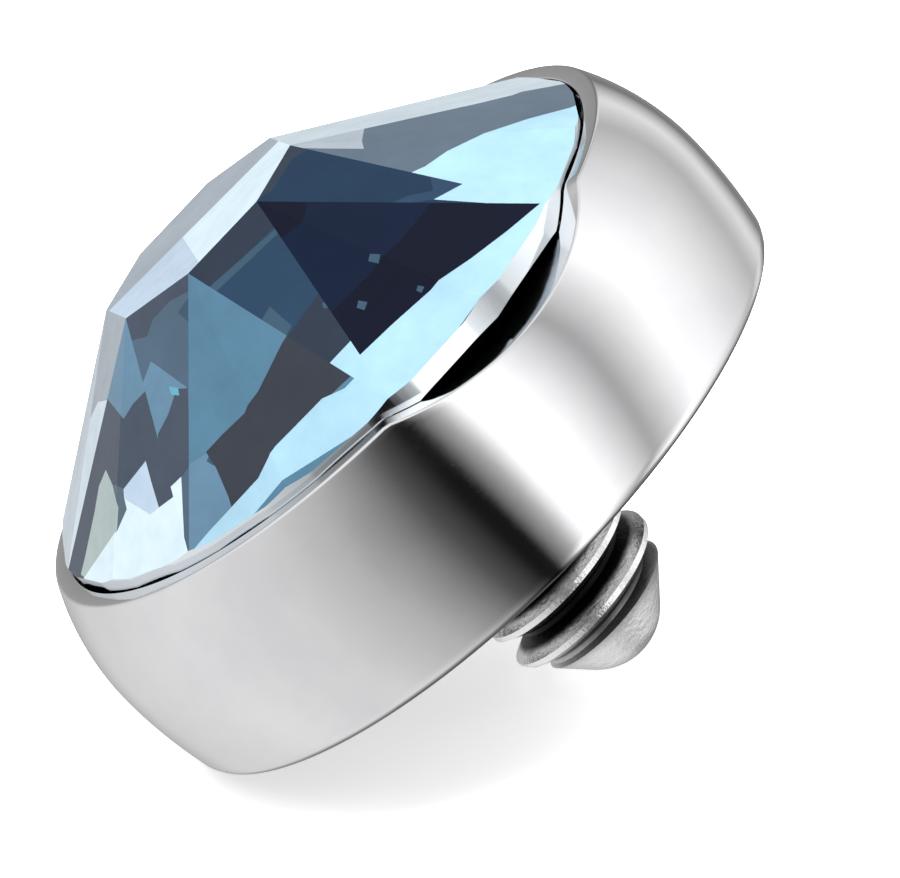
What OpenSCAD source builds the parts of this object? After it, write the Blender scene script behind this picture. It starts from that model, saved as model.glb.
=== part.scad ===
// Dermal anchor top: a polished steel cup, a foiled glass stone and a threaded post.
// The part lies as it would by itself, on the edge of its base and the tip of its post.
// Each piece is drawn on its own axis, base plane at z = 0 and stone up, then laid down.

/* [Cup] */
// Largest diameter, round the belly of the barrel
cup_d = 5.0; // [4.9:0.02:5.1]
// Diameter at the flat underside
base_d = 4.86; // [4.8:0.02:4.88]
// Diameter at the rim
rim_d = 4.61; // [4.58:0.01:4.66]
// Height from the underside to the rim
cup_h = 1.44; // [1.42:0.01:1.48]
// Height of the widest place
belly_h = 0.66; // [0.5:0.02:0.8]
// Thickness of the floor that holds the post
floor_t = 0.38; // [0.3:0.01:0.5]
// Rounding where the side meets the underside
edge_r = 0.04; // [0.02:0.01:0.06]
// Rounding on the outside of the rim
rim_r = 0.03; // [0.01:0.01:0.04]

/* [Notch in the rim] */
// Depth of the notch below the rim
notch_depth = 0.22; // [0.1:0.01:0.25]
// Angle that the notch takes up on the rim
notch_span = 54; // [30:1:60]
// Middle of the notch, to the right of the side that faces out
notch_at = 24; // [0:1:40]

/* [Stone] */
// Diameter of the ground girdle
girdle_d = 4.34; // [4.3:0.01:4.36]
// Girdle across its corners, before the corners are ground round
girdle_corner_d = 4.4; // [4.38:0.01:4.46]
// Height of the crown's lower edge over the underside
girdle_h = 1.49; // [1.47:0.01:1.56]
// Crown height, from girdle to table
crown_h = 1.02; // [0.8:0.01:1.2]
// Height of the foiled belt under the crown
belt_h = 0.13; // [0.08:0.01:0.16]
// Table across its corners
table_d = 1.61; // [1.2:0.01:2.2]
// How far off centre the table is cut
table_shift = 0.1; // [0:0.01:0.2]
// Turn of the table against the girdle, in degrees
table_turn = 5; // [0:1:10]
// How far the table is cut out of parallel with the girdle, in degrees
table_lean = 4.6; // [0:0.1:6]
// Side that the table falls towards, to the right of the side that faces out
table_lean_side = 195; // [150:5:230]
// Number of sides of the table, half those of the girdle
sides = 8; // [8:1:12]
// Flat at the bottom of the foiled back, across its corners
keel_d = 1.0; // [0.6:0.1:1.4]
// How far the stone sits out of level, in degrees
stone_lean = 0.7; // [0:0.1:1.6]
// Side that the stone sinks towards, to the right of the side that faces out
lean_side = 90; // [60:5:130]

/* [Post] */
// Outside diameter of the thread, and of the plain neck above it
thread_d = 1.2; // [1.2:0.1:1.6]
// Thread pitch
pitch = 0.25; // [0.23:0.01:0.3]
// Depth of the thread
thread_depth = 0.155; // [0.12:0.005:0.16]
// Length of the plain neck under the cup
neck_l = 0.22; // [0.1:0.01:0.25]
// Length from the underside to the start of the point
thread_l = 1.0; // [0.9:0.05:1.4]
// Height of the first turn's middle, which sets where the crests show
first_turn_h = -0.39; // [-0.5:0.01:-0.35]
// Angle between the pointed end's side and its axis
point_angle = 40; // [30:1:45]
// Radius of the rounded tip
tip_r = 0.4; // [0.3:0.01:0.42]
// Diameter of the tapered shank at its top, inside the cup's floor
shank_d = 0.9; // [0.8:0.02:0.94]

/* [Fit and rest] */
// Clearance between the pieces
fit_gap = 0.015; // [0.01:0.005:0.02]
// Turn of the side that faces out, against the way the part leans
show_turn = 11.4; // [-20:0.1:20]

/* [Hidden] */
$fn = 96;

cup_r = cup_d / 2;
base_r = base_d / 2;
rim_top_r = rim_d / 2;
girdle_r = girdle_d / 2;
mouth_r = girdle_r + fit_gap;

// Arcs of the barrel: each starts upright at the belly and ends at the base or the rim
function arc_radius(rise, inset) = (rise * rise + inset * inset) / (2 * inset);
low_arc_r = arc_radius(belly_h, cup_r - base_r);
high_arc_r = arc_radius(cup_h - belly_h, cup_r - rim_top_r);

// Heights of the belt's lower edge and of the flat under the stone's back
seat_gap = 2 * fit_gap;
belt_low_h = girdle_h - belt_h;
back_low_h = floor_t + seat_gap;

// Pointed end of the post: a cone that runs into a round tip
thread_r = thread_d / 2;
core_r = thread_r - thread_depth;
apex_h = -thread_l - thread_r / tan(point_angle);
tip_join_h = apex_h + tip_r * cos(point_angle) / tan(point_angle);
tip_centre_h = tip_join_h + tip_r * sin(point_angle);

// Radius of the tapered shank, which fills the floor's hole from the underside up
shank_top_h = floor_t - fit_gap;
function shank_r(h) = thread_r - h * (thread_r - shank_d / 2) / shank_top_h;

// The part leans until the base's rounded edge and the round tip touch the floor together
edge_centre = [base_r - edge_r, edge_r];
touch_run = edge_centre[0];
touch_drop = edge_centre[1] - tip_centre_h;
touch_l = norm([touch_run, touch_drop]);
lean = atan2(touch_drop, touch_run) + asin((tip_r - edge_r) / touch_l);
lift = tip_r - tip_centre_h * cos(lean);

// Reach to either side once it leans, for an origin under the middle of its box
reach_right = edge_centre[0] * cos(lean) - edge_centre[1] * sin(lean) + edge_r;
reach_left = rim_top_r * cos(lean) + cup_h * sin(lean);
middle_x = (reach_right - reach_left) / 2;

// Directions seen by the side that faces out: 0 is towards it and 90 is to its right
function facing(angle) = angle - 90 + show_turn;
function around(r, angle, h) = [r * cos(angle), r * sin(angle), h];

module as_it_lies()
{
    translate([-middle_x, 0, lift])
        rotate([0, -lean, 0])
            children();
}

// The stone and its seat share one frame, tipped a little about the girdle's middle
module as_the_stone_sits()
{
    tip_axis = facing(lean_side) + 90;
    translate([0, 0, girdle_h])
        rotate(a = stone_lean, v = [cos(tip_axis), sin(tip_axis), 0])
            translate([0, 0, -girdle_h])
                children();
}

// Stretch of the barrel between two heights, under an arc that starts upright at the belly
module barrel_stretch(low_h, high_h, arc_r)
{
    intersection() {
        translate([0, low_h])
            square([cup_r, high_h - low_h]);
        translate([cup_r - arc_r, belly_h])
            circle(r = arc_r);
    }
}

// Half section of the solid barrel, to the right of its axis
module barrel_section()
{
    intersection() {
        union() {
            barrel_stretch(0, belly_h, low_arc_r);
            barrel_stretch(belly_h, cup_h, high_arc_r);
        }
        union() {
            translate([0, edge_r])
                square([cup_r, cup_h]);
            square([base_r - edge_r, cup_h]);
            translate(edge_centre)
                circle(r = edge_r);
        }
        union() {
            square([cup_r, cup_h - rim_r]);
            square([rim_top_r - rim_r, cup_h]);
            translate([rim_top_r - rim_r, cup_h - rim_r])
                circle(r = rim_r);
        }
    }
}

// The seat: a mouth for the belt, a cone under the stone's back and a well over the post
module seat_cut()
{
    top_h = 2 * cup_h;
    as_the_stone_sits()
        rotate_extrude()
            polygon([
                [0, floor_t],
                [keel_d / 2, floor_t],
                [mouth_r, belt_low_h - seat_gap],
                [mouth_r, top_h],
                [0, top_h]
            ]);
}

// The notch is a shallow round cut through the wall, made from outside
module rim_notch()
{
    half_chord = rim_top_r * sin(notch_span / 2);
    cut_r = arc_radius(half_chord, notch_depth);
    rotate([0, 0, facing(notch_at)])
        translate([cup_r / 2, 0, cup_h - notch_depth + cut_r])
            rotate([0, 90, 0])
                cylinder(r = cut_r, h = cup_r);
}

// The post's hole keeps one clearance all along the shank and passes both faces of the floor
module post_hole()
{
    low_h = -seat_gap;
    high_h = floor_t + seat_gap;
    translate([0, 0, low_h])
        cylinder(h = high_h - low_h, r1 = shank_r(low_h) + fit_gap, r2 = shank_r(high_h) + fit_gap);
}

// The barrel's seam ends in the middle of the notch
module cup()
{
    color("lightgray")
        as_it_lies()
            difference() {
                rotate([0, 0, facing(notch_at)])
                    rotate_extrude()
                        barrel_section();
                seat_cut();
                rim_notch();
                post_hole();
            }
}

// Corners of the girdle and the table, counted round from the side that faces out.
// The girdle has two corners for each one of the table.
girdle_sides = 2 * sides;
function girdle_corner(i, h) = around(girdle_corner_d / 2, facing(i * 360 / girdle_sides), h);
function keel_corner(i) = around(keel_d / 2, facing(i * 360 / girdle_sides), back_low_h);
function table_corner(i) =
    let (
        angle = (i + 0.5) * 360 / sides + table_turn,
        fall = table_d / 2 * cos(angle - table_lean_side) * tan(table_lean)
    )
    around(table_d / 2, facing(angle), girdle_h + crown_h - fall) + around(table_shift, facing(-90), 0);

// Crown of triangles between table and girdle, an upright belt and a flat-bottomed back.
// From each corner of the table two triangles run down side by side to the girdle,
// and between them one stands on its point under each edge of the table.
module cut_stone()
{
    table_ring = [0 : sides - 1];
    girdle_ring = [0 : girdle_sides - 1];
    points = concat(
        [for (i = table_ring) table_corner(i)],
        [for (i = girdle_ring) girdle_corner(i, girdle_h)],
        [for (i = girdle_ring) girdle_corner(i, belt_low_h)],
        [for (i = girdle_ring) keel_corner(i)]
    );
    function on_girdle(i) = sides + i % girdle_sides;
    function on_belt(i) = on_girdle(i) + girdle_sides;
    function on_keel(i) = on_belt(i) + girdle_sides;
    faces = concat(
        [[for (i = table_ring) sides - 1 - i]],
        [for (i = table_ring) [i, on_girdle(2 * i + 1), on_girdle(2 * i)]],
        [for (i = table_ring) [i, on_girdle(2 * i + 2), on_girdle(2 * i + 1)]],
        [for (i = table_ring) [i, (i + 1) % sides, on_girdle(2 * i + 2)]],
        [for (i = girdle_ring) [on_girdle(i), on_girdle(i + 1), on_belt(i + 1), on_belt(i)]],
        [for (i = girdle_ring) [on_belt(i), on_belt(i + 1), on_keel(i + 1), on_keel(i)]],
        [[for (i = girdle_ring) on_keel(i)]]
    );
    polyhedron(points, faces);
}

module stone()
{
    color("steelblue")
        as_it_lies()
            as_the_stone_sits()
                intersection() {
                    cut_stone();
                    cylinder(d = girdle_d, h = girdle_h + 2 * crown_h);
                }
}

// Half section of the stem: tapered shank, plain neck and the thread's core
module stem_section()
{
    polygon([
        [0, apex_h],
        [core_r, apex_h],
        [core_r, -neck_l - thread_depth],
        [thread_r, -neck_l],
        [thread_r, 0],
        [shank_d / 2, shank_top_h],
        [0, shank_top_h]
    ]);
}

// Half section of all that the point leaves: a wide cone that ends in a round tip
module point_section()
{
    wide = thread_d;
    intersection() {
        polygon([
            [0, apex_h],
            [wide, apex_h + wide / tan(point_angle)],
            [wide, cup_h],
            [0, cup_h]
        ]);
        union() {
            translate([0, tip_join_h])
                square([wide, cup_h - tip_join_h]);
            translate([0, tip_centre_h])
                circle(r = tip_r);
        }
    }
}

// A ridge with 60 degrees between its flanks, wound down the core right-handed.
// It grows out of the core over its first stretch and sinks a little into it all along.
steps_a_turn = 36;
growing_steps = steps_a_turn / 3;
root_flat = pitch / 8;
ridge_steps = ceil((first_turn_h - apex_h) / pitch * steps_a_turn);
module thread_ridge()
{
    sunk_r = core_r - root_flat / 2;
    function crest_r(k) = core_r + thread_depth * min(1, (k + 1) / growing_steps);
    function half_at(r) = (pitch - root_flat) / 2 - (r - core_r) * tan(30);
    function section(k) =
        let (turn = -k * 360 / steps_a_turn, h = first_turn_h - k * pitch / steps_a_turn)
        [
            around(sunk_r, turn, h - half_at(sunk_r)),
            around(crest_r(k), turn, h - half_at(crest_r(k))),
            around(crest_r(k), turn, h + half_at(crest_r(k))),
            around(sunk_r, turn, h + half_at(sunk_r))
        ];
    points = [for (k = [0 : ridge_steps]) each section(k)];
    last = 4 * ridge_steps;
    side_faces = [
        for (k = [0 : ridge_steps - 1])
            for (j = [0 : 3])
                let (a = 4 * k + j, b = 4 * k + (j + 1) % 4)
                each [[a, b + 4, b], [a, a + 4, b + 4]]
    ];
    polyhedron(points, concat(side_faces, [[0, 1, 2, 3], [last + 3, last + 2, last + 1, last]]));
}

module post()
{
    color("gray")
        as_it_lies()
            intersection() {
                union() {
                    rotate_extrude()
                        stem_section();
                    thread_ridge();
                }
                rotate_extrude()
                    point_section();
            }
}

cup();
stone();
post();
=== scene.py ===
import math
import bpy
from mathutils import Matrix, Vector


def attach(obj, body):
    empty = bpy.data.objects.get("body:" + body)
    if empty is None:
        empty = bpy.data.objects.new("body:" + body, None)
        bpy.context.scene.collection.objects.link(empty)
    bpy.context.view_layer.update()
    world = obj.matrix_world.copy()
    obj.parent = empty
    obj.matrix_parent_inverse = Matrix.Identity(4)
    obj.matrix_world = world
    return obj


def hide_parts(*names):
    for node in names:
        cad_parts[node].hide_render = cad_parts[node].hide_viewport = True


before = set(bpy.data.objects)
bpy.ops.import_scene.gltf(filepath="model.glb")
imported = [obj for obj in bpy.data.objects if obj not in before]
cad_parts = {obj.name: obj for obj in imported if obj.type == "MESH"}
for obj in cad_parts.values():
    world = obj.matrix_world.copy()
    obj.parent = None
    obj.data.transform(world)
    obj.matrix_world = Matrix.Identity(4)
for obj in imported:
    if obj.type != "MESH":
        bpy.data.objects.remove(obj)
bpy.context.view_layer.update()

print("solids loaded:", ", ".join(sorted(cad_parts)))

# every piece is modelled upright in millimetres with its front towards -Y, then laid down like the solids
lie = {"lean": 33.1821, "turn": 11.4, "shift": 0.349433, "lift": 1.31457}
perMm = 0.001
layDown = (
    Matrix.Translation(Vector((lie["shift"], 0, lie["lift"])) * perMm)
    @ Matrix.Rotation(-math.radians(lie["lean"]), 4, "Y")
    @ Matrix.Rotation(math.radians(lie["turn"]), 4, "Z")
    @ Matrix.Scale(perMm, 4)
)


def clearSelection():
    if bpy.context.object and bpy.context.object.mode != "OBJECT":
        bpy.ops.object.mode_set(mode="OBJECT")
    bpy.ops.object.select_all(action="DESELECT")


def pick(piece):
    clearSelection()
    piece.select_set(True)
    bpy.context.view_layer.objects.active = piece


def pickFaces(piece, wanted):
    # leaves edit mode with just the faces selected that pass the test
    pick(piece)
    bpy.ops.object.mode_set(mode="EDIT")
    bpy.ops.mesh.select_mode(type="FACE")
    bpy.ops.mesh.select_all(action="DESELECT")
    bpy.ops.object.mode_set(mode="OBJECT")
    for face in piece.data.polygons:
        face.select = wanted(face)
    bpy.ops.object.mode_set(mode="EDIT")


def applyModifier(piece, kind, **settings):
    pick(piece)
    modifier = piece.modifiers.new(kind.lower(), kind)
    for name, value in settings.items():
        setattr(modifier, name, value)
    bpy.ops.object.modifier_apply(modifier=modifier.name)


def turnRings(name, rings, sides):
    # a circle pulled ring by ring through (radius, height) pairs
    clearSelection()
    radius, height = rings[0]
    bpy.ops.mesh.primitive_circle_add(
        vertices=sides, radius=radius, fill_type="NOTHING", location=(0, 0, height))
    piece = bpy.context.object
    piece.name = name
    bpy.ops.object.transform_apply(location=True)
    bpy.ops.object.mode_set(mode="EDIT")
    bpy.ops.mesh.select_all(action="SELECT")
    for newRadius, newHeight in rings[1:]:
        bpy.ops.mesh.extrude_region_move(TRANSFORM_OT_translate={"value": (0, 0, newHeight - height)})
        grow = newRadius / radius
        bpy.ops.transform.resize(value=(grow, grow, 1))
        radius, height = newRadius, newHeight
    bpy.ops.object.mode_set(mode="OBJECT")
    return piece


def tidyMesh(piece, distance=0.0005):
    pick(piece)
    bpy.ops.object.mode_set(mode="EDIT")
    bpy.ops.mesh.select_all(action="SELECT")
    bpy.ops.mesh.remove_doubles(threshold=distance)
    bpy.ops.mesh.normals_make_consistent(inside=False)
    bpy.ops.object.mode_set(mode="OBJECT")


def cutWith(piece, tool, operation):
    applyModifier(piece, "BOOLEAN", object=tool, operation=operation, solver="EXACT")
    bpy.data.objects.remove(tool)


def finishPiece(piece, material, node, smoothUnder=30):
    pick(piece)
    bpy.ops.object.shade_smooth_by_angle(angle=math.radians(smoothUnder))
    piece.data.transform(layDown)
    piece.data.update()
    if material:
        piece.data.materials.clear()
        piece.data.materials.append(material)
    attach(piece, "root")
    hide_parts(node)
    print("made", piece.name, len(piece.data.polygons), "faces")


def arcPoints(centreR, centreH, radius, fromDeg, toDeg, steps):
    turns = [math.radians(fromDeg + (toDeg - fromDeg) * i / steps) for i in range(steps + 1)]
    return [(centreR + radius * math.cos(a), centreH + radius * math.sin(a)) for a in turns]


class Value:
    # one socket, so that shader maths reads as plain expressions
    def __init__(self, maker, socket):
        self.maker = maker
        self.socket = socket

    def calc(self, operation, first, second):
        return self.maker.node("ShaderNodeMath", {"operation": operation}, {0: first, 1: second})

    def __add__(self, other):
        return self.calc("ADD", self, other)

    def __radd__(self, other):
        return self.calc("ADD", other, self)

    def __sub__(self, other):
        return self.calc("SUBTRACT", self, other)

    def __rsub__(self, other):
        return self.calc("SUBTRACT", other, self)

    def __mul__(self, other):
        return self.calc("MULTIPLY", self, other)

    def __rmul__(self, other):
        return self.calc("MULTIPLY", other, self)

    def __truediv__(self, other):
        return self.calc("DIVIDE", self, other)

    def ramp(self, low, high, newLow=0.0, newHigh=1.0):
        return self.maker.node(
            "ShaderNodeMapRange", {"interpolation_type": "SMOOTHSTEP"},
            {0: self, 1: low, 2: high, 3: newLow, 4: newHigh})


class Maker:
    # builds the nodes of one material or of the world
    def __init__(self, owner):
        owner.use_nodes = True
        self.tree = owner.node_tree
        self.tree.nodes.clear()

    def node(self, kind, settings=None, sockets=None, out=0):
        made = self.tree.nodes.new(kind)
        for name, value in (settings or {}).items():
            if name == "stops":
                ramp = made.color_ramp
                while len(ramp.elements) < len(value):
                    ramp.elements.new(0.5)
                for element, (place, light) in zip(ramp.elements, value):
                    element.position = place
                    element.color = (light, light, light, 1)
            else:
                setattr(made, name, value)
        for name, value in (sockets or {}).items():
            if isinstance(value, Value):
                self.tree.links.new(value.socket, made.inputs[name])
            else:
                made.inputs[name].default_value = value
        return Value(self, made.outputs[out]) if made.outputs else None

    def mixColour(self, amount, first, second, blend="MIX"):
        settings = {"data_type": "RGBA", "blend_type": blend}
        return self.node("ShaderNodeMix", settings, {0: amount, 6: first, 7: second}, 2)

    def upright(self):
        # object coordinates turned back to the upright piece, in millimetres
        coords = self.node("ShaderNodeTexCoord", out=3)
        unturned = Matrix.Rotation(-math.radians(lie["turn"]), 4, "Z")
        back = unturned @ Matrix.Rotation(math.radians(lie["lean"]), 4, "Y")
        offset = -(back @ Vector((lie["shift"], 0, lie["lift"])))
        return self.node("ShaderNodeMapping", {"vector_type": "POINT"}, {
            "Vector": coords, "Location": offset,
            "Rotation": (0, math.radians(lie["lean"]), -math.radians(lie["turn"])),
            "Scale": (1 / perMm, 1 / perMm, 1 / perMm)})

    def grey(self, value):
        return self.node("ShaderNodeCombineXYZ", {}, {0: value, 1: value, 2: value})

    def split(self, vector):
        return [self.node("ShaderNodeSeparateXYZ", {}, {0: vector}, axis) for axis in range(3)]

    def noise(self, vector, scale, detail=2.0, rough=0.5):
        sockets = {"Vector": vector, "Scale": scale, "Detail": detail, "Roughness": rough}
        return self.node("ShaderNodeTexNoise", {}, sockets)

    def bump(self, height, strength, distance):
        return self.node("ShaderNodeBump", {}, {"Strength": strength, "Distance": distance, "Height": height})

    def surface(self, sockets):
        shader = self.node("ShaderNodeBsdfPrincipled", {}, sockets)
        self.node("ShaderNodeOutputMaterial", {}, {"Surface": shader})


def newMaker(name):
    material = bpy.data.materials.new(name)
    return material, Maker(material)


# the camera's angles to the part, its distance, the width that it takes in and the point in the middle, in mm
shot = {"rise": 17.27, "tilt": 45, "away": 100.0, "across": 5.637, "sensor": 36, "aim": (0.092, -0.408, 0.8)}


def setCamera():
    rise = math.radians(shot["rise"])
    right = Vector((1, 0, 0))
    up = Vector((0, math.sin(rise), math.cos(rise)))
    back = Vector((0, -math.cos(rise), math.sin(rise)))
    roll = Matrix.Rotation(-math.radians(shot["tilt"]), 3, back)
    sideways, upwards = roll @ right, roll @ up
    target = Vector((0, 0, shot["aim"][2])) + right * shot["aim"][0] + up * shot["aim"][1]
    place = target + back * shot["away"]
    turned = layDown.to_3x3()
    columns = [(turned @ axis).normalized() for axis in (sideways, upwards, back)]
    matrix = Matrix(columns).transposed().to_4x4()
    matrix.translation = layDown @ place
    data = bpy.data.cameras.new("camera")
    data.sensor_width = shot["sensor"]
    data.lens = shot["sensor"] * shot["away"] / shot["across"]
    data.clip_start = 0.001
    data.clip_end = 10
    camera = bpy.data.objects.new("camera", data)
    bpy.context.scene.collection.objects.link(camera)
    camera.matrix_world = matrix
    bpy.context.scene.camera = camera


studio = {
    "floorSize": 3.0, "tableGlow": 0.6,
    "lamp": 0.35, "lampSize": 0.12, "lampAt": (0.02, -0.02, 0.15), "lampTip": 0.13,
}

# brightness of the studio round the part's own axis, in degrees from the front towards the right
bands = [
    (-180, 0.35), (-150, 0.75), (-105, 0.9), (-65, 0.8), (-40, 0.55), (-25, 0.3), (-15, 0.1), (-5, 0.01),
    (0, 0.01), (8, 0.5), (15, 1.5), (25, 1.5), (50, 0.45), (75, 1.35), (90, 1.2), (130, 0.55), (145, 0.9),
    (160, 0.2), (180, 0.35),
]


def setStudio():
    clearSelection()
    bpy.ops.mesh.primitive_plane_add(size=studio["floorSize"])
    floor = bpy.context.object
    floor.name = "floor"
    material, maker = newMaker("paleFloor")
    place = maker.node("ShaderNodeTexCoord", out=3)
    grain = maker.noise(place, 900.0, 3.0)
    tone = maker.mixColour(grain, (0.93, 0.93, 0.93, 1), (0.95, 0.95, 0.95, 1))
    maker.surface({"Base Color": tone, "Roughness": 0.9, "Specular IOR Level": 0.1,
                   "Emission Color": (1, 1, 1, 1), "Emission Strength": studio["tableGlow"]})
    floor.data.materials.append(material)
    floor.visible_glossy = False
    floor.visible_transmission = False

    world = bpy.data.worlds.new("studio")
    bpy.context.scene.world = world
    maker = Maker(world)
    coords = maker.node("ShaderNodeTexCoord", out=0)
    ways = maker.node("ShaderNodeMapping", {"vector_type": "VECTOR"}, {
        "Vector": coords, "Rotation": (0, math.radians(lie["lean"]), -math.radians(lie["turn"]))})
    x, y, z = maker.split(ways)
    angle = maker.node("ShaderNodeMath", {"operation": "ARCTAN2"}, {0: x, 1: -1 * y})
    place = angle / (2 * math.pi) + 0.5
    stops = [(0.5 + a / 360, light / 2) for a, light in bands]
    around = maker.node("ShaderNodeValToRGB", {"stops": stops}, {0: place})
    overhead = z.ramp(0.62, 0.95)
    sky = maker.mixColour(overhead, around, (0.5, 0.5, 0.5, 1))
    lit = maker.node("ShaderNodeVectorMath", {"operation": "SCALE"}, {0: sky, "Scale": 2.0})
    seen = maker.node("ShaderNodeLightPath", out=0)
    shown = maker.mixColour(seen, lit, (1, 1, 1, 1))
    glow = maker.node("ShaderNodeBackground", {}, {"Color": shown, "Strength": 1.0})
    maker.node("ShaderNodeOutputWorld", {}, {"Surface": glow})

    lamp = bpy.data.lights.new("softbox", "AREA")
    lamp.energy = studio["lamp"]
    lamp.size = studio["lampSize"]
    holder = bpy.data.objects.new("softbox", lamp)
    bpy.context.scene.collection.objects.link(holder)
    holder.location = studio["lampAt"]
    holder.rotation_euler = (studio["lampTip"], studio["lampTip"], 0)
    holder.visible_glossy = False
    bpy.context.scene.view_settings.view_transform = "Standard"
    print("floor, studio and camera set")


# radii and heights of the cup; names that end in H are heights above the underside
cup = {
    "belly": 2.5, "bellyH": 0.66, "base": 2.43, "rim": 2.305, "height": 1.44, "edge": 0.04, "rimEdge": 0.03,
    "wallStartH": 0.05, "lowerSteps": 14, "upperSteps": 18, "rimTurn": 0.0138, "upperBow": 1.657,
    "mouth": 2.185, "mouthEdge": 0.012, "seatTop": 1.32, "seatFoot": 0.5, "seatSteps": 16, "floor": 0.38,
    "hole": 0.615, "holeTop": 0.459, "underRings": (1.0, 1.8), "mouthRings": (1.4, 1.36),
    "notchDepth": 0.22, "notchSpan": 54, "notchAt": 24, "sides": 288,
}


def barrelRadius(height):
    toEnd = cup["bellyH"] if height < cup["bellyH"] else cup["height"] - cup["bellyH"]
    inset = cup["belly"] - (cup["base"] if height < cup["bellyH"] else cup["rim"])
    bow = (toEnd ** 2 + inset ** 2) / (2 * inset)
    return cup["belly"] - bow + math.sqrt(bow ** 2 - (height - cup["bellyH"]) ** 2)


def notchHeight(x, y):
    # height of the notch's floor seen outwards from the axis, or the rim's height beside it
    half = math.radians(cup["notchSpan"] / 2)
    bow = ((cup["rim"] * math.sin(half)) ** 2 + cup["notchDepth"] ** 2) / (2 * cup["notchDepth"])
    off = math.atan2(x, -y) - math.radians(cup["notchAt"])
    if abs(off) >= half:
        return cup["height"]
    return cup["height"] - cup["notchDepth"] + bow - math.sqrt(bow ** 2 - (cup["rim"] * math.sin(off)) ** 2)


def makeCup():
    rings = [(cup["hole"], 0)] + [(r, 0) for r in cup["underRings"]]
    rings += arcPoints(cup["base"] - cup["edge"], cup["edge"], cup["edge"], -90, -8, 8)
    steps = cup["lowerSteps"]
    rise = cup["bellyH"] - cup["wallStartH"]
    rings += [(barrelRadius(h), h) for h in (cup["wallStartH"] + rise * i / steps for i in range(steps + 1))]
    turnIn = cup["height"] - cup["rimEdge"]
    rimStart = turnIn + cup["rimTurn"]
    steps = cup["upperSteps"]
    rings += [(barrelRadius(h), h) for h in
              (cup["bellyH"] + (rimStart - cup["bellyH"]) * i / steps for i in range(1, steps + 1))]
    slope = math.degrees(math.asin((rimStart - cup["bellyH"]) / cup["upperBow"]))
    centre = barrelRadius(rimStart) - cup["rimEdge"] * math.cos(math.radians(slope))
    rings += arcPoints(centre, turnIn, cup["rimEdge"], slope, 90, 8)[1:]
    lip = cup["mouthEdge"]
    rings += arcPoints(cup["mouth"] + lip, cup["height"] - lip, lip, 90, 180, 4)
    rings += [(cup["mouth"], h) for h in (*cup["mouthRings"], cup["seatTop"])]
    steps = cup["seatSteps"]
    rings += [(cup["mouth"] + (cup["seatFoot"] - cup["mouth"]) * i / steps,
               cup["seatTop"] + (cup["floor"] - cup["seatTop"]) * i / steps) for i in range(1, steps + 1)]
    rings += [(cup["holeTop"], cup["floor"]), (cup["hole"], 0)]
    piece = turnRings("polished_cup", rings, cup["sides"])

    # the notch: the outside slides down along the barrel, the inside is cut off level
    for vertex in piece.data.vertices:
        x, y, h = vertex.co
        floorH = notchHeight(x, y)
        if floorH > cup["height"] - 1e-6 or h <= cup["bellyH"]:
            continue
        r = math.hypot(x, y)
        if r > centre - 0.001:
            share = (floorH - cup["bellyH"]) / (cup["height"] - cup["bellyH"])
            newH = cup["bellyH"] + (h - cup["bellyH"]) * share
            newR = barrelRadius(newH) - (barrelRadius(min(h, cup["height"] - 0.001)) - r)
        else:
            newH, newR = min(h, floorH), r
        vertex.co = (x * newR / r, y * newR / r, newH)
    tidyMesh(piece)
    return piece


def polishedSteel():
    material, maker = newMaker("polished_steel")
    at = maker.upright()
    x, y, z = maker.split(at)
    around = maker.node("ShaderNodeMath", {"operation": "ARCTAN2"}, {0: x, 1: -1 * y})
    turned = maker.node("ShaderNodeCombineXYZ", {}, {0: around * 2.2, 1: z * 60.0, 2: 0.0})
    lines = maker.noise(turned, 3.0, 4.0, 0.6)
    smears = maker.noise(at, 1.7, 3.0, 0.55)
    pits = maker.noise(at, 45.0, 2.0, 0.5)
    rough = 0.045 + smears.ramp(0.42, 0.7) * 0.05 + lines.ramp(0.5, 0.75) * 0.03
    tone = maker.mixColour(smears.ramp(0.35, 0.7), (0.80, 0.80, 0.81, 1), (0.76, 0.76, 0.775, 1))
    # painted shade: the foot of the barrel, just above the underside, is painted near black, with a slightly
    # wavy upper edge
    edge = (z + (smears - 0.5) * 0.01).ramp(0.012, 0.05)
    tone = maker.mixColour(edge, (0.07, 0.07, 0.072, 1), tone)
    height = lines * 0.35 + pits.ramp(0.7, 0.84) * -0.15 + smears * 0.6
    maker.surface({"Base Color": tone, "Metallic": 1.0, "Roughness": rough,
                   "Normal": maker.bump(height, 0.12, 0.00001)})
    return material


# the stone is pulled up from its back as a 16-sided block and ground round to the radius "ground"
stone = {
    "corner": 2.2, "ground": 2.17, "grindSides": 256, "girdleH": 1.49, "belt": 0.13, "crown": 1.02,
    "table": 0.805, "tableShift": 0.1, "shiftTo": 0.75, "tableTurn": 5, "tableLean": 4.6, "tableLeanSide": 195,
    "sides": 8, "keel": 0.5, "backLow": 0.41, "lean": 0.7, "leanSide": 90,
}

# painted reflections: tones that stand in for the foil's reflections as the glass shows them, in sRGB
paintedReflectionTones = {
    "white": (220, 240, 250), "pale": (170, 210, 230), "ice": (190, 210, 230), "silver": (210, 225, 235),
    "mist": (160, 170, 180), "straw": (170, 185, 185), "spark": (100, 170, 190), "brightTeal": (100, 135, 160),
    "teal": (85, 125, 150), "dimTeal": (80, 100, 120), "greyBlue": (90, 105, 120), "haze": (60, 85, 105),
    "ash": (70, 80, 95), "slate": (55, 60, 70), "dusk": (45, 55, 70), "blue": (40, 65, 90),
    "deepBlue": (25, 50, 75), "navy": (10, 25, 50), "night": (10, 15, 35),
}
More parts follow.
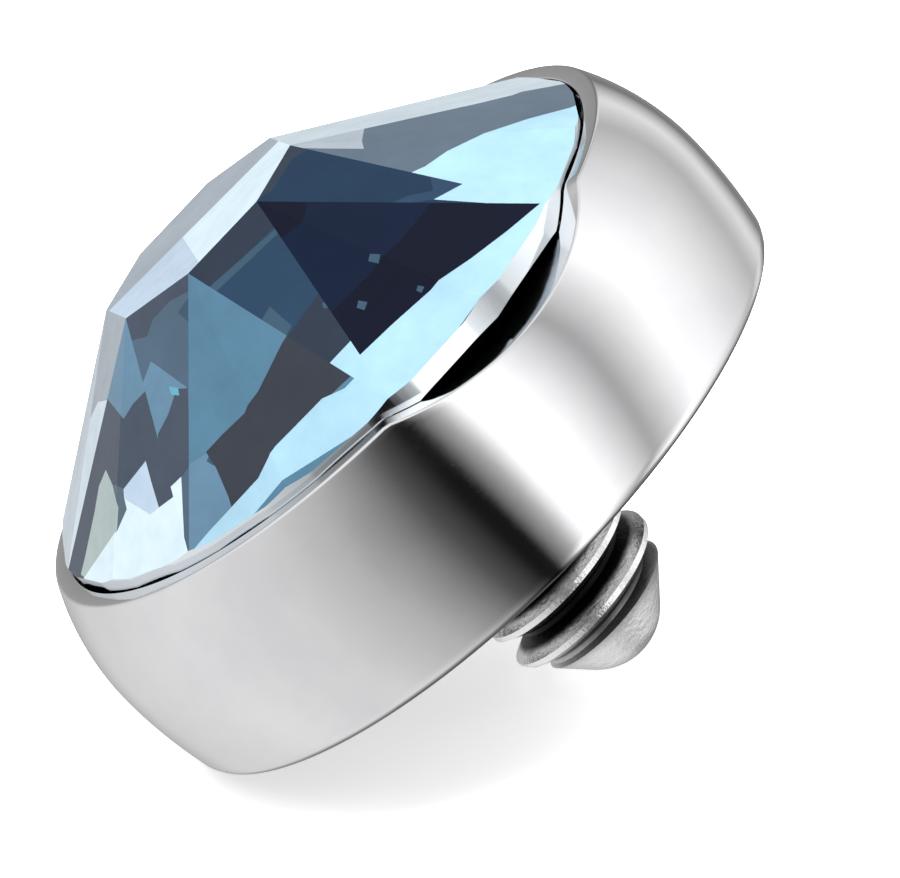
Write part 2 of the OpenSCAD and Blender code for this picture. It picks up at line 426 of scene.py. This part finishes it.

# patches of painted reflection: which facet round the stone (0 faces the front, 16 a turn), then the corners
# seen from above as (right, front) in millimetres; a patch without corners fills its facet
patches = [
    ("blue", 0, None),
    ("dusk", 0, [(-0.39, 0.69), (0.49, 0.64), (0.42, 0.9), (-0.31, 0.94)]),
    ("dusk", 0, [(-0.25, 1.52), (-0.12, 1.47), (0.17, 1.41), (0.3, 1.39), (0.24, 1.75), (-0.2, 1.78)]),
    ("pale", 0, [(-0.2, 1.78), (0.24, 1.74), (0.19, 2.26), (-0.19, 2.28)]),
    ("haze", 0, [(-0.27, 0.92), (0.44, 0.92), (0.44, 0.95), (-0.28, 0.97)]),
    ("haze", 0, [(-0.16, 1.29), (-0.06, 1.26), (-0.06, 1.44), (-0.15, 1.47)]),
    ("haze", 0, [(0.17, 1.46), (0.21, 1.48), (0.18, 1.51), (0.15, 1.49)]),
    ("teal", 15, None),
    ("brightTeal", 15, [(-1.6, 1.58), (-1.33, 1.35), (-1.13, 1.3), (-1, 1.39), (-0.99, 1.51),
        (-1.02, 1.69), (-1.09, 1.75), (-1.35, 1.69)]),
    ("haze", 15, [(-1.04, 1.41), (-1, 1.41), (-0.97, 1.47), (-1.03, 1.47)]),
    ("slate", 15, [(-1, 1.38), (-0.85, 1.44), (-0.66, 1.53), (-0.5, 1.53), (-0.34, 1.5), (-0.18, 1.47),
        (-0.05, 1.46), (0.14, 1.46), (0.14, 1.95), (-0.14, 1.9), (-0.52, 1.85), (-0.68, 1.83),
        (-0.78, 1.86), (-1.16, 1.72), (-1.11, 1.65), (-1.03, 1.49)]),
    ("pale", 15, [(-1.63, 1.52), (-1.35, 1.62), (-1.15, 1.7), (-0.9, 1.8), (-0.77, 1.81), (-0.68, 1.81),
        (-0.52, 1.83), (-0.27, 1.86), (-0.13, 1.93), (0.14, 1.96), (0.12, 2.29), (-1.66, 1.67)]),
    ("dimTeal", 14, None),
    ("ash", 14, [(-0.83, 0.21), (-0.17, 0.78), (-0.28, 0.87), (-0.45, 0.69), (-0.61, 0.6), (-0.71, 0.6),
        (-0.8, 0.48), (-0.9, 0.37)]),
    ("brightTeal", 14, [(-1.18, 0.76), (-0.99, 0.69), (-0.81, 0.7), (-0.78, 1.07), (-0.99, 1.01),
        (-1.18, 0.96)]),
    ("ash", 14, [(-0.83, 0.99), (-0.78, 1.08), (-0.93, 1.18), (-1.04, 1.26), (-1.1, 1.32), (-1.26, 1.26),
        (-1.46, 1.17), (-1.32, 1.1), (-1.24, 1.03), (-1.12, 0.96), (-0.99, 0.99)]),
    ("spark", 14, [(-0.85, 0.92), (-0.82, 1), (-0.85, 1.03), (-0.88, 0.96)]),
    ("haze", 14, [(-0.47, 0.79), (-0.27, 0.87), (-0.22, 1.07), (-0.4, 1.05), (-0.47, 0.95)]),
    ("white", 14, [(-1.49, 1.15), (-1.33, 1.2), (-1.22, 1.27), (-1.6, 1.54), (-1.71, 1.47)]),
    ("ash", 13, None),
    ("brightTeal", 13, [(-0.67, 0.36), (-0.96, 0.24), (-1.18, 0.26), (-1.2, 0.58), (-1.11, 0.68),
        (-0.99, 0.76), (-0.84, 0.61)]),
    ("ash", 13, [(-1.09, 0.64), (-0.91, 0.79), (-1.12, 1.06), (-1.53, 0.73), (-1.56, 0.58), (-1.43, 0.5),
        (-1.24, 0.56)]),
    ("straw", 13, [(-1.52, 0.42), (-1.56, 0.58), (-1.64, 0.73), (-1.76, 0.77), (-2.03, 0.49),
        (-2.13, 0.36), (-2.13, 0.25), (-2.03, 0.28), (-1.77, 0.33), (-1.63, 0.34)]),
    ("greyBlue", 13, [(-1.56, 0.58), (-1.53, 0.74), (-1.61, 0.84), (-1.76, 0.77), (-1.64, 0.73)]),
    ("white", 13, [(-1.57, 0.77), (-1.53, 0.74), (-1.3, 0.9), (-1.37, 1), (-1.46, 1.14), (-1.33, 1.28),
        (-1.54, 1.57), (-1.64, 1.61), (-2.23, 0.52), (-2.13, 0.32), (-1.76, 0.77), (-1.61, 0.82)]),
    ("ice", 13, [(-1.53, 0.74), (-1.3, 0.9), (-1.37, 1), (-1.46, 1.14), (-1.53, 1.07), (-1.57, 0.78)]),
    ("silver", 12, None),
    ("mist", 12, [(-0.85, -0.7), (-0.65, 0.64), (-1.17, 0.34), (-1.24, 0), (-1.46, -0.26), (-1.57, -0.52)]),
    ("silver", 11, None),
    ("mist", 11, [(-0.7, -0.31), (-0.74, -0.81), (-1.48, -0.85), (-1.58, -1.04), (-1.33, -1.34)]),
    ("navy", 1, None),
    ("night", 1, [(0.37, 0.66), (0.3, 0.99), (0.47, 0.98), (0.57, 0.87)]),
    ("night", 1, [(0.1, 1.55), (0.51, 1.49), (0.76, 1.4), (1.1, 1.2), (1.31, 1.26), (1.6, 1.5),
        (1.57, 1.56), (0.03, 2.22)]),
    ("pale", 1, [(0.05, 1.86), (0.36, 1.82), (0.67, 1.79), (0.98, 1.71), (1.26, 1.62), (1.58, 1.5),
        (1.52, 1.79), (-0.03, 2.28)]),
    ("haze", 1, [(0.29, 1.61), (0.33, 1.58), (0.36, 1.62), (0.31, 1.65)]),
    ("haze", 1, [(0.55, 1.42), (0.59, 1.39), (0.63, 1.43), (0.58, 1.47)]),
    ("haze", 1, [(0.61, 1.74), (0.64, 1.72), (0.66, 1.75), (0.62, 1.77)]),
    ("deepBlue", 2, None),
    ("dusk", 2, [(0.33, 0.72), (0.77, 0.17), (0.85, 0.32), (0.71, 0.39), (0.49, 0.64)]),
    ("deepBlue", 2, [(0.77, 1.06), (1, 0.63), (1.27, 0.66), (1.4, 1.07), (1.1, 1.19), (0.86, 1.12)]),
    ("blue", 2, [(0.86, 1.12), (1.1, 1.19), (1.33, 1.1), (1.4, 1.08), (1.2, 0.93), (1.14, 1.1), (1.01, 1.08)]),
    ("pale", 2, [(1.1, 1.19), (1.33, 1.1), (1.63, 1.51), (1.5, 1.56)]),
    ("greyBlue", 3, None),
    ("mist", 3, [(0.71, 0.24), (0.98, 0.09), (1.15, 0.15), (1.05, 0.48), (0.89, 0.37)]),
    ("pale", 3, [(1.13, 0.86), (1.22, 0.83), (1.38, 0.73), (1.62, 0.64), (1.86, 0.52), (2.09, 0.45),
        (2.26, 0.31), (2.01, 1.07), (1.55, 1.69), (1.18, 1.43)]),
    ("silver", 4, None),
    ("greyBlue", 4, [(1.75, 0.07), (1.9, 0.02), (1.96, -0.07), (2.04, -0.42), (2.26, -0.34), (2.16, 0.42),
        (1.98, 0.41)]),
    ("silver", 5, None),
]
# painted reflection on the table: bright tones where the table mirrors the light above
tablePatches = [
    ("white", None),
    ("ice", [(-0.9, -0.16), (-0.21, -0.13), (-0.26, 1.05), (-0.92, 0.74)]),
    ("mist", [(-1, -1.09), (0.82, -1.16), (0.86, -0.09), (-0.96, -0.16)]),
]


def towards(angle, radius, height=0.0):
    # a point at an angle counted from the front towards the right
    turn = math.radians(angle)
    return Vector((radius * math.sin(turn), -radius * math.cos(turn), height))


def shiftedIn(right, front):
    # the crown's facets lean after the table, which is cut off centre
    share = (stone["ground"] - math.hypot(right, front)) / (stone["ground"] - stone["shiftTo"])
    return right - stone["tableShift"] * min(1, max(0, share)), front


def cutAlong(piece, start, end):
    # cuts the crown upright along a line seen from above, where the line passes
    low = (min(start[0], end[0]) - 0.005, min(start[1], end[1]) - 0.005)
    high = (max(start[0], end[0]) + 0.005, max(start[1], end[1]) + 0.005)
    points = piece.data.vertices

    def passes(face):
        if face.normal.z < 0.2:
            return False
        xs = [points[i].co.x for i in face.vertices]
        ys = [-points[i].co.y for i in face.vertices]
        return min(xs) < high[0] and max(xs) > low[0] and min(ys) < high[1] and max(ys) > low[1]

    pickFaces(piece, passes)
    run = Vector((end[0] - start[0], start[1] - end[1], 0)).normalized()
    bpy.ops.mesh.bisect(plane_co=(start[0], -start[1], 0), plane_no=(run.y, -run.x, 0))
    bpy.ops.object.mode_set(mode="OBJECT")


def holds(corners, right, front):
    # whether a place lies inside the corners
    inside = False
    for (x1, y1), (x2, y2) in zip(corners, corners[1:] + corners[:1]):
        if (y1 > front) != (y2 > front) and right < x1 + (front - y1) * (x2 - x1) / (y2 - y1):
            inside = not inside
    return inside


def linear(tone):
    return [(c / 255 / 12.92 if c < 11 else ((c / 255 + 0.055) / 1.055) ** 2.4) for c in tone]


def numberFacets(piece):
    # the crown's facets are numbered round from the front, 16 a turn, and the table is -1
    numbers = piece.data.attributes.new("facet", "INT", "FACE")
    tableH = stone["girdleH"] + 0.8 * stone["crown"]
    for face in piece.data.polygons:
        turn = math.degrees(math.atan2(face.center.x, -face.center.y))
        atTable = sum(piece.data.vertices[i].co.z > tableH for i in face.vertices)
        number = round(turn / 45) * 2 if atTable == 2 else math.floor(turn / 45) * 2 + 1
        numbers.data[face.index].value = -1 if atTable > 2 else number % 16


def makeStone():
    clearSelection()
    sides = 2 * stone["sides"]
    low = stone["girdleH"] - stone["belt"]
    # the back is pulled up to the belt, the belt to the girdle and the girdle in to the table
    bpy.ops.mesh.primitive_circle_add(
        vertices=sides, radius=stone["keel"], fill_type="NGON", location=(0, 0, stone["backLow"]))
    piece = bpy.context.object
    piece.name = "faceted_stone"
    bpy.ops.object.transform_apply(location=True)
    bpy.ops.object.mode_set(mode="EDIT")
    bpy.ops.mesh.select_all(action="SELECT")
    bpy.ops.mesh.extrude_region_move(TRANSFORM_OT_translate={"value": (0, 0, low - stone["backLow"])})
    grow = stone["corner"] / stone["keel"]
    bpy.ops.transform.resize(value=(grow, grow, 1))
    bpy.ops.mesh.extrude_region_move(TRANSFORM_OT_translate={"value": (0, 0, stone["belt"])})
    bpy.ops.mesh.extrude_region_move(TRANSFORM_OT_translate={"value": (0, 0, stone["crown"])})
    bpy.ops.object.mode_set(mode="OBJECT")
    # two corners of the pulled-up ring close on each corner of the table
    top = stone["girdleH"] + stone["crown"]
    lean = math.tan(math.radians(stone["tableLean"]))
    for vertex in piece.data.vertices:
        if vertex.co.z > top - 0.01:
            corner = round(math.degrees(math.atan2(vertex.co.x, -vertex.co.y)) / 22.5) % 16 // 2
            angle = (corner + 0.5) * 360 / stone["sides"] + stone["tableTurn"]
            fall = stone["table"] * math.cos(math.radians(angle - stone["tableLeanSide"])) * lean
            vertex.co = towards(angle, stone["table"], top - fall) - Vector((stone["tableShift"], 0, 0))
    tidyMesh(piece)
    pickFaces(piece, lambda face: 0.2 < face.normal.z < 0.95)
    bpy.ops.mesh.quads_convert_to_tris(quad_method="SHORTEST_DIAGONAL")
    bpy.ops.object.mode_set(mode="OBJECT")
    clearSelection()
    bpy.ops.mesh.primitive_cylinder_add(
        vertices=stone["grindSides"], radius=stone["ground"], depth=4, location=(0, 0, 1.5))
    cutWith(piece, bpy.context.object, "INTERSECT")
    numberFacets(piece)

    # every patch of painted reflection is cut into the facets, then each face takes the tone of the last patch
    # that holds it
    everyPatch = []
    for turned in (True, False):
        for tone, facet, corners in patches:
            if corners and turned:
                corners = [(-right, -front) for right, front in corners]
            if corners:
                corners = [shiftedIn(right, front) for right, front in corners]
            everyPatch.append((tone, (facet + 8) % 16 if turned else facet, corners))
    everyPatch += [(tone, -1, corners) for tone, corners in tablePatches]
    for tone, facet, corners in everyPatch:
        for start, end in zip(corners or [], corners[1:] + corners[:1] if corners else []):
            cutAlong(piece, start, end)
    colours = piece.data.attributes.new("foilTone", "FLOAT_COLOR", "CORNER")
    numbers = piece.data.attributes["facet"]
    for face in piece.data.polygons:
        chosen = "silver"
        if face.normal.z > 0.2:
            mine = numbers.data[face.index].value
            for tone, facet, corners in everyPatch:
                if facet == mine and (not corners or holds(corners, face.center.x, -face.center.y)):
                    chosen = tone
        for loop in face.loop_indices:
            colours.data[loop].color = (*linear(paintedReflectionTones[chosen]), 1)

    axis = towards(stone["leanSide"] + 90, 1)
    tip = Matrix.Rotation(math.radians(stone["lean"]), 4, axis)
    middle = Matrix.Translation((0, 0, stone["girdleH"]))
    piece.data.transform(middle @ tip @ middle.inverted())
    return piece


def roundBelt(piece):
    # the belt is shaded round, with a crisp edge above and below it
    slanted = layDown.to_3x3().normalized()
    pickFaces(piece, lambda face: abs(face.normal @ slanted.col[2]) < 0.2)
    bpy.ops.mesh.mark_sharp(clear=True)
    bpy.ops.mesh.region_to_loop()
    bpy.ops.mesh.mark_sharp()
    bpy.ops.object.mode_set(mode="OBJECT")


def foiledGlass():
    material, maker = newMaker("foiled_blue_glass")
    at = maker.upright()
    # painted reflection: the base colour is the painted reflection tones of the facets, mottled and scaled
    # down
    tone = maker.node("ShaderNodeAttribute", {"attribute_name": "foilTone"})
    cloud = maker.noise(at, 1.6, 3.0, 0.55)
    fine = maker.noise(at, 9.0, 4.0, 0.6)
    light = 0.46 + cloud * 0.26 + fine * 0.12
    colour = maker.mixColour(1.0, tone, maker.grey(light), "MULTIPLY")
    maker.surface({"Base Color": colour, "Roughness": 0.1, "Specular IOR Level": 0.06,
                   "Coat Weight": 0.12, "Coat Roughness": 0.02})
    return material


def foil():
    material, maker = newMaker("foiled_belt")
    maker.surface({"Base Color": (0.8, 0.86, 0.9, 1), "Metallic": 1.0, "Roughness": 0.08})
    return material


post = {
    "thread": 0.6, "depth": 0.155, "pitch": 0.25, "neck": 0.22, "length": 1.0, "point": 40, "tip": 0.4,
    "shank": 0.45, "shankTop": 0.365, "firstTurn": -0.39, "steps": 96,
}


def makePost():
    core = post["thread"] - post["depth"]
    pointTan = math.tan(math.radians(post["point"]))
    apex = -post["length"] - post["thread"] / pointTan
    # one turn of the thread's section, wound down past the point
    flat = post["pitch"] / 8
    halfRoot = (post["pitch"] - flat) / 2
    halfCrest = halfRoot - post["depth"] * math.tan(math.radians(30))
    startH = post["firstTurn"] + 2 * post["pitch"]
    section = [(core, -post["pitch"] / 2), (core, -halfRoot), (post["thread"], -halfCrest),
               (post["thread"], halfCrest), (core, halfRoot), (core, post["pitch"] / 2)]
    mesh = bpy.data.meshes.new("threaded_post")
    mesh.from_pydata([(0, -r, h) for r, h in section], [(i, i + 1) for i in range(len(section) - 1)], [])
    piece = bpy.data.objects.new("threaded_post", mesh)
    bpy.context.scene.collection.objects.link(piece)
    piece.rotation_euler = (0, 0, math.radians(90 - lie["turn"]))
    piece.location = (0, 0, startH)
    pick(piece)
    bpy.ops.object.transform_apply(location=True, rotation=True)
    turns = int((startH - apex) / post["pitch"]) + 2
    applyModifier(piece, "SCREW", angle=-2 * math.pi, screw_offset=-post["pitch"], iterations=turns,
                  steps=post["steps"], render_steps=post["steps"],
                  use_merge_vertices=True, merge_threshold=0.0005)
    pick(piece)
    bpy.ops.object.mode_set(mode="EDIT")
    bpy.ops.mesh.select_all(action="SELECT")
    bpy.ops.mesh.remove_doubles(threshold=0.0005)
    bpy.ops.mesh.select_all(action="DESELECT")
    bpy.ops.mesh.select_mode(type="EDGE")
    bpy.ops.mesh.select_non_manifold()
    bpy.ops.mesh.fill_holes(sides=0)
    bpy.ops.mesh.select_all(action="SELECT")
    bpy.ops.mesh.normals_make_consistent(inside=False)
    bpy.ops.object.mode_set(mode="OBJECT")

    # the point: a long cone with a round tip that cuts the thread off
    slant = math.radians(post["point"])
    centreH = apex + post["tip"] * math.cos(slant) / pointTan + post["tip"] * math.sin(slant)
    tip = arcPoints(0, centreH, post["tip"], -89.5, -post["point"], 14)
    top = -post["neck"] - 0.02
    blank = turnRings("blank", tip + [((top - apex) * pointTan, top)], 192)
    pick(blank)
    bpy.ops.object.mode_set(mode="EDIT")
    bpy.ops.mesh.select_all(action="SELECT")
    bpy.ops.mesh.fill_holes(sides=0)
    bpy.ops.mesh.normals_make_consistent(inside=False)
    bpy.ops.object.mode_set(mode="OBJECT")
    cutWith(piece, blank, "INTERSECT")

    # the plain neck and the tapered shank above it
    neck = turnRings("neck", [
        (core - 0.02, -post["neck"] - 0.3), (core + 0.001, -post["neck"] - post["depth"]),
        (post["thread"] - 0.012, -post["neck"] - 0.012), (post["thread"] - 0.003, -post["neck"] - 0.003),
        (post["thread"], -post["neck"] + 0.006), (post["thread"], 0), (post["shank"], post["shankTop"])], 96)
    pick(neck)
    bpy.ops.object.mode_set(mode="EDIT")
    bpy.ops.mesh.select_all(action="SELECT")
    bpy.ops.mesh.fill_holes(sides=0)
    bpy.ops.mesh.normals_make_consistent(inside=False)
    bpy.ops.object.mode_set(mode="OBJECT")
    cutWith(piece, neck, "UNION")
    tidyMesh(piece, 0.0002)
    return piece


def cutSteel():
    material, maker = newMaker("cut_steel")
    at = maker.upright()
    x, y, z = maker.split(at)
    flatPlace = maker.node("ShaderNodeCombineXYZ", {}, {0: x, 1: y, 2: 0.0})
    away = maker.node("ShaderNodeVectorMath", {"operation": "LENGTH"}, {0: flatPlace}, 1)
    # painted shade: the thread's grooves above the point are painted near black and made rougher; one noise
    # wobbles the edge of that shade and also feeds the bump
    shadeWobbleAndBump = maker.noise(at, 9.0, 4.0, 0.6)
    groove = 1 - (away + (shadeWobbleAndBump - 0.5) * 0.03).ramp(0.505, 0.56)
    above = z.ramp(-1.22, -1.0)
    paintedGrooveShade = groove * above
    tone = maker.mixColour(paintedGrooveShade, (0.9, 0.9, 0.9, 1), (0.012, 0.012, 0.014, 1))
    scrapes = maker.noise(at, 26.0, 5.0, 0.65)
    rough = 0.1 + scrapes * 0.16 + paintedGrooveShade * 0.25
    maker.surface({"Base Color": tone, "Metallic": 1.0, "Roughness": rough,
                   "Normal": maker.bump(scrapes + shadeWobbleAndBump * 0.5, 0.35, 0.00002)})
    return material


setCamera()
setStudio()
finishPiece(makeCup(), polishedSteel(), "cup")
gem = makeStone()
glassFinish, beltFinish = foiledGlass(), foil()
gem.data.materials.clear()
gem.data.materials.append(glassFinish)
gem.data.materials.append(beltFinish)
for face in gem.data.polygons:
    face.material_index = 0 if face.normal.z > 0.2 else 1
finishPiece(gem, None, "stone", 3)
roundBelt(gem)
finishPiece(makePost(), cutSteel(), "post")
